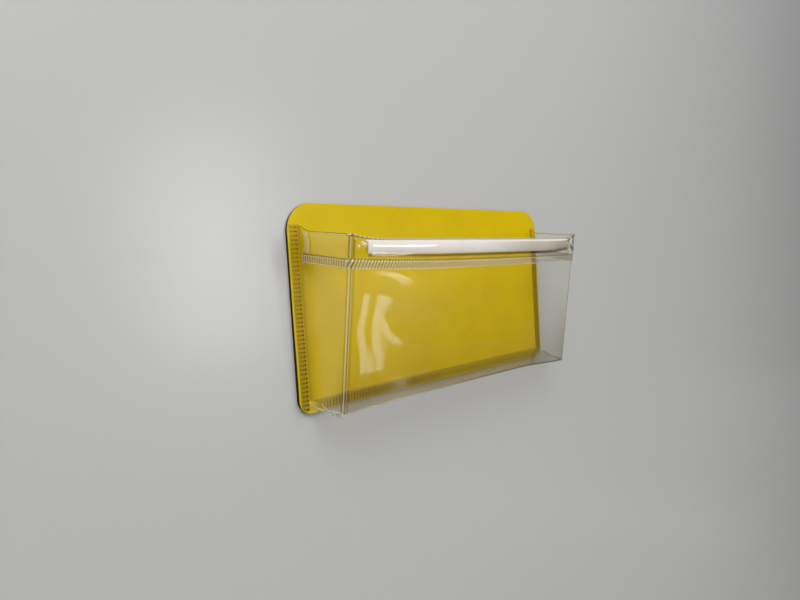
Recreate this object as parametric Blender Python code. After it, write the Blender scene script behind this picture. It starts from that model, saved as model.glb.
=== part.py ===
"""A clear document pocket on a magnetic sheet.

A dark magnetic rubber sheet carries a yellow plastic facing. A pocket of clear film, folded from one
blank, is welded to the facing along its left, bottom and right edges with ribbed bars. A second strip of
film goes round the top of the pocket, welded along its rim and along a ribbed hem, and makes a sleeve in
which a paper label strip can slide sideways.

Units are metres, with +Z up. The origin is the centre of the magnetic back, which faces +Y.
"""

import math

import bmesh
import bpy
from mathutils import Matrix, Vector

MM = 0.001

# Sheet that sticks to steel, and the coloured facing on it
SHEET_WIDTH = 240 * MM
SHEET_HEIGHT = 120 * MM
TOP_CORNER_RADIUS = 17.5 * MM
BOTTOM_CORNER_RADIUS = 9 * MM
CORNER_STEPS = 12
MAGNET_THICKNESS = 1.0 * MM
FACING_THICKNESS = 0.4 * MM

# Film, and the clearance kept between pieces that lie on each other
FILM = 0.3 * MM
GAP = 0.3 * MM

# Pocket: a wedge that opens towards its rim. Depths are measured from the facing.
TOE_IN = 2.6 * MM
DEPTH_AT_RIM = 43.8 * MM
DEPTH_AT_CREASE = 27.5 * MM
CREASE_ABOVE_EDGE = 0.1 * MM
FLOOR_ABOVE_EDGE = 7.5 * MM
RIM_ABOVE_EDGE = 97.5 * MM
RIM_DIP = 2.1 * MM
RIM_DIP_RUN = 24 * MM
RIM_RISE_AT_ROOT = 8.7 * MM
RIM_RISE_KNEE = 5.2 * MM
KNEE_DEPTH = 6 * MM

# Folds of the film
CORNER_RADIUS = 1.6 * MM
CREASE_RADIUS = 1.2 * MM
ROOT_RADIUS = 2.2 * MM
FLOOR_ROOT_RADIUS = 1 * MM
FOLD_STEPS = 6

# Ribbed weld bands on the facing, and the flat lips between them and the folds
WELD_EDGE = 1.7 * MM
WELD_WIDTH = 4.5 * MM
WELD_OVER_RIM = 1.3 * MM
WELD_END_MARGIN = 0.5 * MM
SIDE_LIP = 0.5 * MM
FLOOR_WELD_WIDTH = 3.7 * MM
FLOOR_LIP = 0.6 * MM
RIB_PITCH = 2.45 * MM
RIB_SHARE = 0.5
RIB_HEIGHT = 0.35 * MM

# Hem weld, sleeve and rim weld round the top of the pocket
HEM_WIDTH = 5.7 * MM
HEM_TOP_BELOW_RIM = 13.7 * MM
HEM_DROP = 7 * MM
HEM_RIB_PITCH = 2.2 * MM
RIM_WELD_HEIGHT = 1.2 * MM
SLEEVE_SLACK = 0.25 * MM
SLEEVE_BANDS = "front_sleeve_foot", "front_sleeve", "front_sleeve_top"
BAND_STEPS = 3

# Label strip, and the room it has in the sleeve
LABEL_THICKNESS = 0.35 * MM
LABEL_BOW = 0.7 * MM
LABEL_TRAVEL = 8 * MM
LABEL_END_ROOM = 0.9 * MM
LABEL_FOOT_ROOM = 2.1 * MM
LABEL_STEPS = 6

# Welded seams under the bottom corners
SEAM_HEIGHT_AT_ROOT = 4 * MM
SEAM_HEIGHT_AT_NECK = 1.6 * MM
SEAM_LAP = 0.9 * MM
SEAM_EAR_LENGTH = 8 * MM
SEAM_EAR_HEIGHT = 2.6 * MM
SEAM_STEPS = 8

# Places and directions that follow from the sizes above
EDGE_Z = -SHEET_HEIGHT / 2
FACE_Y = -(MAGNET_THICKNESS + GAP + FACING_THICKNESS)
LIP_Y = FACE_Y - GAP - FILM
CREASE_Z = EDGE_Z + CREASE_ABOVE_EDGE
FLOOR_Z = EDGE_Z + FLOOR_ABOVE_EDGE
RIM_Z = EDGE_Z + RIM_ABOVE_EDGE
TOE_ANGLE = math.atan2(TOE_IN, DEPTH_AT_RIM)
LEAN = math.atan2(DEPTH_AT_RIM - DEPTH_AT_CREASE, RIM_Z - CREASE_Z)
FLOOR_SLOPE = math.atan2(FLOOR_Z - CREASE_Z, DEPTH_AT_CREASE)
ACROSS = Vector((1, 0, 0))
DOWN = Vector((0, 0, -1))
GUSSET_AHEAD = Vector((math.sin(TOE_ANGLE), -math.cos(TOE_ANGLE), 0))
FLOOR_AHEAD = Vector((0, -math.cos(FLOOR_SLOPE), -math.sin(FLOOR_SLOPE)))
FRONT_UP = Vector((0, -math.sin(LEAN), math.cos(LEAN)))


def tangent(back, ahead, radius):
    """How far from a corner its rounding starts."""
    return radius / math.tan(back.angle(ahead) / 2)


ROOT_TANGENT = tangent(-ACROSS, GUSSET_AHEAD, ROOT_RADIUS)
FLOOR_TANGENT = tangent(DOWN, FLOOR_AHEAD, FLOOR_ROOT_RADIUS)
CORNER_INSET = tangent(-GUSSET_AHEAD, ACROSS, CORNER_RADIUS) + GAP
CREASE_INSET = tangent(-FLOOR_AHEAD, FRONT_UP, CREASE_RADIUS) + GAP
LIP_X = SHEET_WIDTH / 2 - WELD_EDGE - WELD_WIDTH - GAP
ROOT_HALF = LIP_X - SIDE_LIP - ROOT_TANGENT + (FACE_Y - LIP_Y) * math.tan(TOE_ANGLE)
GUSSET_START = (FACE_Y - LIP_Y) / math.cos(TOE_ANGLE) + ROOT_TANGENT + GAP
RIM_S = (RIM_Z - CREASE_Z) / math.cos(LEAN)
BELOW_RIM = RIM_WELD_HEIGHT + GAP
HEM_BASE = 2 * FILM
HEM_TOP_S = RIM_S - HEM_TOP_BELOW_RIM
HEM_TOP_Z = CREASE_Z + HEM_TOP_S * math.cos(LEAN)
HEM_DEPTH = DEPTH_AT_CREASE + HEM_TOP_S * math.sin(LEAN)
HEM_SLOPE = math.atan2(HEM_DROP, HEM_DEPTH)
SLEEVE_STAND = LABEL_THICKNESS + FILM + 2 * GAP + SLEEVE_SLACK
SLEEVE_BOW = LABEL_BOW + GAP
LABEL_TOP_S = RIM_S - RIM_DIP - BELOW_RIM
LABEL_HEIGHT = LABEL_TOP_S - HEM_TOP_S - LABEL_FOOT_ROOM


def material(name, colour, roughness, metallic=0.0, alpha=1.0):
    """A Principled material in one colour."""
    made = bpy.data.materials.new(name)
    made.use_nodes = True
    shader = made.node_tree.nodes["Principled BSDF"]
    shader.inputs["Base Color"].default_value = (*colour, 1.0)
    shader.inputs["Roughness"].default_value = roughness
    shader.inputs["Metallic"].default_value = metallic
    shader.inputs["Alpha"].default_value = alpha
    return made


def frame(name, parent=None, location=(0, 0, 0), rotation=(0, 0, 0)):
    """An empty that carries the pieces modelled in its axes."""
    empty = bpy.data.objects.new(name, None)
    bpy.context.collection.objects.link(empty)
    empty.parent = parent
    empty.location = location
    empty.rotation_euler = rotation
    return empty


def piece(name, bm, look, parent=None):
    """Make a named object from a bmesh."""
    mesh = bpy.data.meshes.new(name)
    bm.to_mesh(mesh)
    bm.free()
    mesh.materials.append(look)
    made = bpy.data.objects.new(name, mesh)
    bpy.context.collection.objects.link(made)
    made.parent = parent
    return made


def film(name, grid, thickness, look, parent=None):
    """A sheet whose outer surface is a grid of points: rows upwards, columns rightwards seen from outside."""
    bm = bmesh.new()
    points = [[bm.verts.new(point) for point in row] for row in grid]
    for low, high in zip(points, points[1:]):
        for column in range(len(low) - 1):
            bm.faces.new((low[column], low[column + 1], high[column + 1], high[column]))
    made = piece(name, bm, look, parent)
    thick = made.modifiers.new("thickness", "SOLIDIFY")
    thick.thickness = thickness
    thick.offset = -1
    thick.use_even_offset = True
    return made


def mirrored(grid):
    """The same grid on the other side of the pocket, still seen from outside."""
    return [[Vector((-point[0], point[1], point[2])) for point in reversed(row)] for row in grid]


def both_sides(name, grid, thickness, look, parents=(None, None)):
    """A left piece and its mirror image on the right."""
    film("left_" + name, grid, thickness, look, parents[0])
    film("right_" + name, mirrored(grid), thickness, look, parents[1])


def fillet(corner, back, ahead, radius, steps=FOLD_STEPS):
    """Points of an arc that rounds a corner between two directions, in a plane."""
    corner = Vector(corner)
    half = back.angle(ahead) / 2
    centre = corner + (back + ahead).normalized() * radius / math.sin(half)
    first = corner + back * radius / math.tan(half) - centre
    last = corner + ahead * radius / math.tan(half) - centre
    sweep = first.angle(last)
    side = (last - first * math.cos(sweep)) / math.sin(sweep)
    turns = [sweep * step / steps for step in range(steps + 1)]
    return [centre + first * math.cos(turn) + side * math.sin(turn) for turn in turns]


def depth_at(z):
    """Depth of the pocket's front, from the facing, at a height."""
    return DEPTH_AT_CREASE + (z - CREASE_Z) * math.tan(LEAN)


def half_at(depth):
    """Half the pocket's width at a depth: the gussets toe in towards the front."""
    return ROOT_HALF - depth * math.tan(TOE_ANGLE)


def half_along(s):
    """Half the front's width at a distance up the front from the bottom crease."""
    return half_at(DEPTH_AT_CREASE + s * math.sin(LEAN))


def rim_z(depth):
    """Height of the rim on a gusset: it climbs steeply where the film leaves the facing."""
    if depth < KNEE_DEPTH:
        climb = (KNEE_DEPTH - max(depth, 0)) / KNEE_DEPTH
        return RIM_Z + RIM_RISE_KNEE + climb * (RIM_RISE_AT_ROOT - RIM_RISE_KNEE)
    return RIM_Z + RIM_RISE_KNEE * (DEPTH_AT_RIM - depth) / (DEPTH_AT_RIM - KNEE_DEPTH)


def rim_s(x):
    """Rim of the front, measured up the front: it dips between the corners."""
    dip = min((half_along(RIM_S) - abs(x)) / RIM_DIP_RUN, 1)
    return RIM_S - RIM_DIP * max(dip, 0)


def corner_arc_height(radius, inset):
    """How far from the sheet's end a corner's arc starts, at an inset from the sheet's side."""
    return radius - math.sqrt(radius**2 - (radius - min(inset, radius)) ** 2)


def floor_z(depth):
    """Height of the pocket's floor, outside, at a depth."""
    return FLOOR_Z - depth * math.tan(FLOOR_SLOPE)


def hem_z(depth):
    """Top line of the hem weld on a gusset."""
    return HEM_TOP_Z + (HEM_DEPTH - depth) * math.tan(HEM_SLOPE)


def rounded_sheet(name, front_y, thickness, look):
    """A flat sheet with rounded corners, its front at front_y."""
    outline = []
    for across, up, radius in (
        (1, -1, BOTTOM_CORNER_RADIUS),
        (1, 1, TOP_CORNER_RADIUS),
        (-1, 1, TOP_CORNER_RADIUS),
        (-1, -1, BOTTOM_CORNER_RADIUS),
    ):
        centre_x = across * (SHEET_WIDTH / 2 - radius)
        centre_z = up * (SHEET_HEIGHT / 2 - radius)
        start = math.atan2(up, across) - math.pi / 4
        for step in range(CORNER_STEPS + 1):
            turn = start + math.pi / 2 * step / CORNER_STEPS
            outline.append((centre_x + radius * math.cos(turn), centre_z + radius * math.sin(turn)))
    bm = bmesh.new()
    face = bm.faces.new([bm.verts.new((x, 0, z)) for x, z in outline])
    back = bmesh.ops.extrude_face_region(bm, geom=[face])
    moved = [part for part in back["geom"] if isinstance(part, bmesh.types.BMVert)]
    bmesh.ops.translate(bm, verts=moved, vec=(0, thickness, 0))
    bmesh.ops.recalc_face_normals(bm, faces=bm.faces)
    made = piece(name, bm, look)
    made.location = (0, front_y, 0)
    return made


def ribbed_band(name, start, end, outward, width, base, pitch, look, parent=None):
    """A welded band with ribs across it, along the line from start to end."""
    along = Vector(end) - Vector(start)
    length = along.length
    ribs = int(length / pitch)
    margin = (length - (ribs - 1 + RIB_SHARE) * pitch) / 2
    profile = [(0, 0), (length, 0), (length, -base)]
    for rib in reversed(range(ribs)):
        low = margin + rib * pitch
        high = low + pitch * RIB_SHARE
        top = base + RIB_HEIGHT
        profile += [(high, -base), (high, -top), (low, -top), (low, -base)]
    profile.append((0, -base))
    bm = bmesh.new()
    face = bm.faces.new([bm.verts.new((x, y, -width / 2)) for x, y in profile])
    side = bmesh.ops.extrude_face_region(bm, geom=[face])
    moved = [part for part in side["geom"] if isinstance(part, bmesh.types.BMVert)]
    bmesh.ops.translate(bm, verts=moved, vec=(0, 0, width))
    bmesh.ops.recalc_face_normals(bm, faces=bm.faces)
    made = piece(name, bm, look, parent)
    x_axis = along.normalized()
    y_axis = -Vector(outward).normalized()
    turned = Matrix((x_axis, y_axis, x_axis.cross(y_axis))).transposed().to_4x4()
    made.matrix_local = Matrix.Translation(start) @ turned
    return made


def magnetic_sheet():
    """The magnetic rubber and the facing glued to it."""
    rubber = material("magnetic_rubber", (0.03, 0.025, 0.02), 0.8)
    yellow = material("yellow_plastic", (0.62, 0.45, 0.0), 0.35)
    rounded_sheet("magnet_sheet", -MAGNET_THICKNESS, MAGNET_THICKNESS, rubber)
    rounded_sheet("yellow_facing", FACE_Y, FACING_THICKNESS, yellow)


def weld_bands(look):
    """Ribbed welds that hold the film's lips to the facing."""
    back_y = FACE_Y - GAP
    front = (0, -1, 0)
    centre_x = SHEET_WIDTH / 2 - WELD_EDGE - WELD_WIDTH / 2
    foot_z = EDGE_Z + corner_arc_height(BOTTOM_CORNER_RADIUS, WELD_EDGE) + WELD_END_MARGIN
    corner_z = SHEET_HEIGHT / 2 - corner_arc_height(TOP_CORNER_RADIUS, WELD_EDGE) - WELD_END_MARGIN
    top_z = min(rim_z(0) + WELD_OVER_RIM, corner_z)
    for name, x in (("left_weld", -centre_x), ("right_weld", centre_x)):
        ends = (x, back_y, foot_z), (x, back_y, top_z)
        ribbed_band(name, *ends, front, WELD_WIDTH, FILM, RIB_PITCH, look)
    z = floor_z(FACE_Y - LIP_Y) - FLOOR_TANGENT - FLOOR_LIP - GAP - FLOOR_WELD_WIDTH / 2
    ends = (-LIP_X, back_y, z), (LIP_X, back_y, z)
    ribbed_band("bottom_weld", *ends, front, FLOOR_WELD_WIDTH, FILM, RIB_PITCH, look)


def root_folds(look):
    """Lips on the facing, and the bends from them into the gussets and the floor."""
    corner = (-half_at(FACE_Y - LIP_Y), LIP_Y, 0)
    plan = [Vector((-LIP_X, LIP_Y, 0))] + fillet(corner, -ACROSS, GUSSET_AHEAD, ROOT_RADIUS)
    foot = []
    top = []
    for point in plan:
        depth = FACE_Y - point.y
        foot.append(Vector((point.x, point.y, floor_z(depth) + GAP)))
        top.append(Vector((point.x, point.y, rim_z(depth))))
    both_sides("root_fold", [foot, top], FILM, look)

    half = half_at(FACE_Y - LIP_Y) - ROOT_RADIUS
    corner_z = floor_z(FACE_Y - LIP_Y)
    lip = Vector((0, LIP_Y, corner_z - FLOOR_TANGENT - FLOOR_LIP))
    section = [lip] + fillet((0, LIP_Y, corner_z), DOWN, FLOOR_AHEAD, FLOOR_ROOT_RADIUS)
    grid = [[Vector((x, point.y, point.z)) for x in (-half, half)] for point in section]
    film("bottom_root_fold", grid, FILM, look)


def gussets(look, frames):
    """The flat side walls, in the axes of their frames."""
    foot_end = DEPTH_AT_CREASE / math.cos(TOE_ANGLE) - CORNER_INSET
    foot_knee = GUSSET_START + (foot_end - GUSSET_START) * KNEE_DEPTH / DEPTH_AT_CREASE
    foot = [(depth, floor_z(depth)) for depth in (GUSSET_START, foot_knee, foot_end)]
    rim_end = depth_at(RIM_Z - BELOW_RIM) / math.cos(TOE_ANGLE) - CORNER_INSET
    knee = max(KNEE_DEPTH, GUSSET_START + GAP)
    top = [(depth, rim_z(depth) - BELOW_RIM) for depth in (GUSSET_START, knee, rim_end)]
    grid = [[Vector((0, -depth, z)) for depth, z in row] for row in (foot, top)]
    both_sides("gusset", grid, FILM, look, frames)


def floor_and_front(look, leaf):
    """The flat floor, and the flat front in the axes of the leaning leaf."""
    root = Vector((0, LIP_Y, floor_z(FACE_Y - LIP_Y)))
    crease = Vector((0, FACE_Y - DEPTH_AT_CREASE, CREASE_Z))
    grid = []
    for point in (root + FLOOR_AHEAD * (FLOOR_TANGENT + GAP), crease - FLOOR_AHEAD * CREASE_INSET):
        half = half_at(FACE_Y - point.y) - FILM - GAP
        grid.append([Vector((x, point.y, point.z)) for x in (-half, half)])
    film("bottom_panel", grid, FILM, look)

    dip_x = half_along(RIM_S) - RIM_DIP_RUN
    foot_half = half_along(CREASE_INSET) - CORNER_INSET
    top_half = half_along(RIM_S) - CORNER_INSET
    grid = [
        [Vector((x, 0, CREASE_INSET)) for x in (-foot_half, -dip_x, dip_x, foot_half)],
        [Vector((x, 0, rim_s(x) - BELOW_RIM)) for x in (-top_half, -dip_x, dip_x, top_half)],
    ]
    film("front_panel", grid, FILM, look, leaf)


def folds(look):
    """Rounded folds between the front and the gussets, and between the front and the floor."""
    grid = []
    for z in (CREASE_Z + CREASE_RADIUS + GAP, RIM_Z - BELOW_RIM):
        corner = (-half_at(depth_at(z)), FACE_Y - depth_at(z), z)
        grid.append(fillet(corner, -GUSSET_AHEAD, ACROSS, CORNER_RADIUS))
    both_sides("corner_fold", grid, FILM, look)

    crease = (0, FACE_Y - DEPTH_AT_CREASE, CREASE_Z)
    half = half_at(DEPTH_AT_CREASE) - CORNER_RADIUS - GAP
    section = fillet(crease, -FLOOR_AHEAD, FRONT_UP, CREASE_RADIUS)
    grid = [[Vector((x, point.y, point.z)) for x in (-half, half)] for point in section]
    film("bottom_crease", grid, FILM, look)


def corner_seams(look, frames):
    """Welded seams that close the blank under the gussets, with a small rounded ear at the front."""
    start = GUSSET_START - ROOT_TANGENT + RIB_HEIGHT
    end = DEPTH_AT_CREASE / math.cos(TOE_ANGLE)
    neck = end - SEAM_EAR_LENGTH
    slope = (SEAM_HEIGHT_AT_ROOT - SEAM_HEIGHT_AT_NECK) / (neck - start)
    columns = [
        (start, 0, SEAM_HEIGHT_AT_ROOT),
        (GUSSET_START, 0, SEAM_HEIGHT_AT_NECK + slope * (neck - GUSSET_START)),
        (neck, SEAM_LAP, SEAM_HEIGHT_AT_NECK),
    ]
    for step in range(1, SEAM_STEPS):
        turn = math.pi * step / SEAM_STEPS
        depth = neck + SEAM_EAR_LENGTH * (1 - math.cos(turn)) / 2
        swell = (SEAM_EAR_HEIGHT - SEAM_HEIGHT_AT_NECK) * math.sin(turn)
        columns.append((depth, SEAM_LAP, SEAM_HEIGHT_AT_NECK + swell))
    columns.append((end, SEAM_LAP, SEAM_HEIGHT_AT_NECK))
    x = -GAP - 2 * FILM
    foot = [Vector((x, -depth, floor_z(depth) + lap - height)) for depth, lap, height in columns]
    top = [Vector((x, -depth, floor_z(depth) + lap)) for depth, lap, height in columns]
    both_sides("bottom_seam", [foot, top], 2 * FILM, look, frames)


def sleeve_row(columns, share):
    """A row of points on the bowed sleeve, at a share of the way from the hem weld to the rim weld."""
    stand = SLEEVE_STAND + SLEEVE_BOW * (1 - (2 * share - 1) ** 2)
    foot = HEM_TOP_S + GAP
    return [Vector((x, -stand, foot + (rim_s(x) - BELOW_RIM - foot) * share)) for x in columns]


def front_hem_and_sleeve(look, leaf):
    """Hem weld, bowed sleeve film and rim weld on the front. They cover the ends of those on the gussets."""
    overhang = 2 * GAP + HEM_BASE + RIB_HEIGHT
    middle = HEM_TOP_S - HEM_WIDTH / 2
    reach = half_along(middle) + overhang
    ends = (-reach, -GAP, middle), (reach, -GAP, middle)
    ribbed_band("front_hem_weld", *ends, (0, -1, 0), HEM_WIDTH, HEM_BASE, HEM_RIB_PITCH, look, leaf)

    dip_x = half_along(RIM_S) - RIM_DIP_RUN
    reach = half_along(RIM_S) + overhang
    columns = (-reach, -dip_x, dip_x, reach)
    parted = GAP / (RIM_S - RIM_DIP - BELOW_RIM - HEM_TOP_S - GAP)
    span = (1 - parted * (len(SLEEVE_BANDS) - 1)) / len(SLEEVE_BANDS)
    for band, name in enumerate(SLEEVE_BANDS):
        first = band * (span + parted)
        shares = [first + span * step / BAND_STEPS for step in range(BAND_STEPS + 1)]
        film(name, [sleeve_row(columns, share) for share in shares], FILM, look, leaf)

    grid = [
        [Vector((x, -SLEEVE_STAND, rim_s(x) - RIM_WELD_HEIGHT)) for x in columns],
        [Vector((x, -SLEEVE_STAND, rim_s(x))) for x in columns],
    ]
    film("front_rim_weld", grid, SLEEVE_STAND + FILM, look, leaf)


def side_hems_and_sleeves(look, frames):
    """Hem weld, sleeve film and rim weld on both gussets."""
    back = HEM_WIDTH / 2 * math.sin(HEM_SLOPE)
    low = HEM_WIDTH / 2 * math.cos(HEM_SLOPE)
    hem_tip = HEM_DEPTH / math.cos(TOE_ANGLE) - GAP
    for side, name in ((-1, "left_hem_weld"), (1, "right_hem_weld")):
        depths = (GUSSET_START + 2 * back, hem_tip)
        ends = [(side * GAP, back - depth, hem_z(depth) - low) for depth in depths]
        if side > 0:
            ends.reverse()
        parent = frames[side > 0]
        ribbed_band(name, *ends, (side, 0, 0), HEM_WIDTH, HEM_BASE, RIB_PITCH, look, parent)

    x = -GAP - HEM_BASE
    knee = max(KNEE_DEPTH, GUSSET_START + GAP)
    above_hem = GAP / math.cos(HEM_SLOPE)
    sleeve_tip = depth_at(RIM_Z - BELOW_RIM) / math.cos(TOE_ANGLE) - GAP
    foot = [Vector((x, -depth, hem_z(depth) + above_hem)) for depth in (GUSSET_START, knee, hem_tip)]
    top = [Vector((x, -depth, rim_z(depth) - BELOW_RIM)) for depth in (GUSSET_START, knee, sleeve_tip)]
    both_sides("sleeve", [foot, top], FILM, look, frames)

    rim_tip = (DEPTH_AT_RIM - FILM - GAP) / math.cos(TOE_ANGLE) - GAP
    depths = (GUSSET_START, knee, rim_tip)
    grid = [
        [Vector((x, -depth, rim_z(depth) - RIM_WELD_HEIGHT)) for depth in depths],
        [Vector((x, -depth, rim_z(depth))) for depth in depths],
    ]
    both_sides("rim_weld", grid, GAP + HEM_BASE + FILM, look, frames)


def label_strip(leaf):
    """The bowed paper strip in the sleeve. It slides along X."""
    paper = material("label_paper", (0.82, 0.8, 0.78), 0.6)
    middle = LABEL_TOP_S - LABEL_HEIGHT / 2
    carrier = frame("label_slide", leaf, (0, 0, middle))
    half = half_along(middle) - CORNER_RADIUS - LABEL_TRAVEL - LABEL_END_ROOM
    grid = []
    for step in range(LABEL_STEPS + 1):
        share = step / LABEL_STEPS
        out = GAP + LABEL_THICKNESS + LABEL_BOW * (1 - (2 * share - 1) ** 2)
        grid.append([Vector((x, -out, LABEL_HEIGHT * (share - 0.5))) for x in (-half, half)])
    film("label_strip", grid, LABEL_THICKNESS, paper, carrier)


def build():
    """Clear the scene and model the pocket."""
    for old in list(bpy.data.objects):
        bpy.data.objects.remove(old)
    clear = material("clear_film", (0.75, 0.76, 0.72), 0.08, alpha=0.3)
    welded = material("welded_film", (0.7, 0.62, 0.3), 0.25, alpha=0.7)
    leaf = frame("front_leaf", None, (0, FACE_Y - DEPTH_AT_CREASE, CREASE_Z), (LEAN, 0, 0))
    frames = [
        frame(name, None, (side * ROOT_HALF, FACE_Y, 0), (0, 0, -side * TOE_ANGLE))
        for side, name in ((-1, "left_gusset_frame"), (1, "right_gusset_frame"))
    ]
    magnetic_sheet()
    weld_bands(welded)
    root_folds(clear)
    gussets(clear, frames)
    floor_and_front(clear, leaf)
    folds(clear)
    corner_seams(welded, frames)
    front_hem_and_sleeve(clear, leaf)
    side_hems_and_sleeves(clear, frames)
    label_strip(leaf)


build()
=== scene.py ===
import math
from collections import namedtuple

import bpy
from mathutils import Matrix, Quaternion, Vector, noise

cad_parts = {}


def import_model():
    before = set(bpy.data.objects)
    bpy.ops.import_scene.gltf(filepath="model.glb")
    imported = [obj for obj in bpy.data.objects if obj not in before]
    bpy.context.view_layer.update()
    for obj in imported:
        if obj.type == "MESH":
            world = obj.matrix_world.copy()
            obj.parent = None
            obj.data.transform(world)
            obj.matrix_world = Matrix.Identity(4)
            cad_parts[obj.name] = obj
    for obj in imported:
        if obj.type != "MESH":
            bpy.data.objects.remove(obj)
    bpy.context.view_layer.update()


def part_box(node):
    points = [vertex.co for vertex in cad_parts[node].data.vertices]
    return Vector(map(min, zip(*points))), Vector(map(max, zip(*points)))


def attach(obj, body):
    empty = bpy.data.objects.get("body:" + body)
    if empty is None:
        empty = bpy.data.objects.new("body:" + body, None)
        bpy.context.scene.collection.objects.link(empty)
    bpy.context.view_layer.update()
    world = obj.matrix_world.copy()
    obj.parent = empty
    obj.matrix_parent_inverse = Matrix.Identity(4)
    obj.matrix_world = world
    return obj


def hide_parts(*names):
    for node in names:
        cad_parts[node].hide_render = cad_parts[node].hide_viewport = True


# Looks of a clear document pocket on a magnetic sheet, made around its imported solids.
# Lengths are millimetres in the row frame; a mesh's points are turned into metres when it is made.

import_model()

MM = 0.001
UP = Vector((0, 0, 1))


def edges(node):
    """A solid's lowest and highest corners."""
    low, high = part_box(node)
    return low / MM, high / MM


SHEET_LOW, SHEET_HIGH = edges("magnet_sheet")
EDGE_Z = SHEET_LOW.z
FACE_Y = edges("yellow_facing")[0].y

# Rounding of the sheet's corners, and of its cut edges
TOP_CORNER = 17.5
BOTTOM_CORNER = 7.8
CUT_BEVEL = 0.12

# Film: its thickness, and the least clearance between pieces
FILM = 0.3
HAIR = 0.04

# The wedge of the pocket, as in the solids.
# Depths are measured from the facing, heights from the sheet's lower edge.
ROOT_HALF = 111.0
TOE = 2.6 / 43.8
CREASE_DEPTH = 27.5
RIM_DEPTH = 43.8
CREASE_HEIGHT = 0.1
FLOOR_HEIGHT = 7.5
RIM_HEIGHT = 98.2
RIM_DIP = 2.3
RIM_DIP_RUN = 10
RIM_RISE_KNEE = 5.2
RIM_RISE_ROOT = 8.7
KNEE_DEPTH = 6
STEEP_DEPTH = 9
CREASE_Z = EDGE_Z + CREASE_HEIGHT
RIM_Z = EDGE_Z + RIM_HEIGHT
SLOPE = (RIM_DEPTH - CREASE_DEPTH) / (RIM_HEIGHT - CREASE_HEIGHT)
LEAN = math.atan(SLOPE)
UP_FRONT = Vector((0, -math.sin(LEAN), math.cos(LEAN)))

# Folds, how far in from the corners the front's last columns stand, and the steps of the arcs
CORNER_RADIUS = 2.2
ROOT_RADIUS = 1.6
ROOT_FLARE = 0.9
ROOT_FLARE_RUN = 5
CREASE_RADIUS = 1.1
CORNER_INSET = CORNER_RADIUS * 1.03
ARC_STEPS = 14
FLOOR_ARC_STEPS = 5

# The film's lips on the facing end at the welded bands
LIP_X = 113.6
LIP_DEPTH = HAIR + FILM
LIP_EDGE = 0.08
BOTTOM_LIP_Z = SHEET_LOW.z + 6.25

# How the made pocket hangs: its front sits higher on the left than on the right,
# and its rim tips up at the right corner and sinks where the right gusset meets the facing
CREASE_LEFT = 1.1
CREASE_BELLY = 0.8
CREASE_DROP = 2.3
RIM_LEFT = 0.3
RIM_RIGHT = -0.9
RIM_TIP = 1.3
RIM_SINK = 1.3
HEM_HEIGHT = 82.5
HEM_SAG = 3.4
HEM_SAG_RUN = 50
HEM_ROOT_HEIGHT = 91.2

# Welded bands: how far the side ones run on below their solids, towards the sheet's corners,
# how much wider the left one is, the bottom one's heights above the sheet's edge, and their ribs
WELD_RUN_ON = 2.4
LEFT_WIDER = 1.0
BOTTOM_WELD = (0.3, 6.2)
SIDE_RIB_PITCH = 2.45
BOTTOM_RIB_PITCH = 2.3
WELD_STEP = 0.28
WELD_FOOT = 0.06
WELD_RISE = 0.16
WELD_RIB = 0.3

# Painted light on the film: painted shade towards the front's foot, and a painted sheen on the left gusset
FOOT_SHADE = 0.2
GUSSET_PAINTED_SHEEN = 0.025

# Hem and rim of the sleeve. The two ends are what they leave free at either end of the film.
HEM_WIDTH = 5.6
HEM_BASE = 0.28
HEM_RIB_PITCH = 2.25
HEM_RIB_HEIGHT = 0.3
HEM_RIB_LEAN = 0.45
HEM_END = 0.7
SLEEVE_END = 3.2
RIM_WIDTH = 1.3
RIM_DASH_PITCH = 3.0

# How far the sleeve stands off the front, how much more it bows, and the run in which it does so
SLEEVE_STAND = 1.0
SLEEVE_BOW = 0.5
SLEEVE_RUN = 14

# How far along the rim a painted curved highlight stands on the left gusset's sleeve
ROOT_GLINT_AT = 10.0

# The label: its height as a share of its solid's, its thickness, its bow and its gap to the front
LABEL_TALL = 1.07
LABEL_THICK = 0.3
LABEL_BOW = 0.62
LABEL_GAP = 0.33

# The sheet's left edge has sprung off the wall a little, most at its lower corner, which hangs lower
SPRUNG_OUT = 1.6
SPRUNG_ABOVE = 0.6
SPRUNG_DOWN = 0.9
SPRUNG_REACH = 25


def lerp(a, b, share):
    """A value or place at a share of the way from a to b."""
    return a + (b - a) * share


def smooth(low, high, value):
    """0 below low, 1 above high, and a soft step between them."""
    share = min(max((value - low) / (high - low), 0), 1)
    return share * share * (3 - 2 * share)


def bump(centre, width, value):
    """A soft hump of height 1."""
    return math.exp(-(((value - centre) / width) ** 2))


def wave(value, pitch):
    """0 between the ribs of a row and 1 on them."""
    return 0.5 + 0.5 * math.cos(2 * math.pi * value / pitch)


def piece(name, points, faces, look, shades=None, sharp=40):
    """A mesh piece from points in millimetres.

    shades maps an attribute's name to a value for each point. Edges past sharp degrees stay sharp.
    """
    mesh = bpy.data.meshes.new(name)
    mesh.from_pydata([point * MM for point in points], [], faces)
    mesh.materials.append(look)
    for shade, values in (shades or {}).items():
        attribute = mesh.attributes.new(shade, "FLOAT", "POINT")
        attribute.data.foreach_set("value", values)
    mesh.update()
    mesh.shade_smooth()
    mesh.set_sharp_from_angle(angle=math.radians(sharp))
    made = bpy.data.objects.new(name, mesh)
    bpy.context.collection.objects.link(made)
    return made


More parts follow.
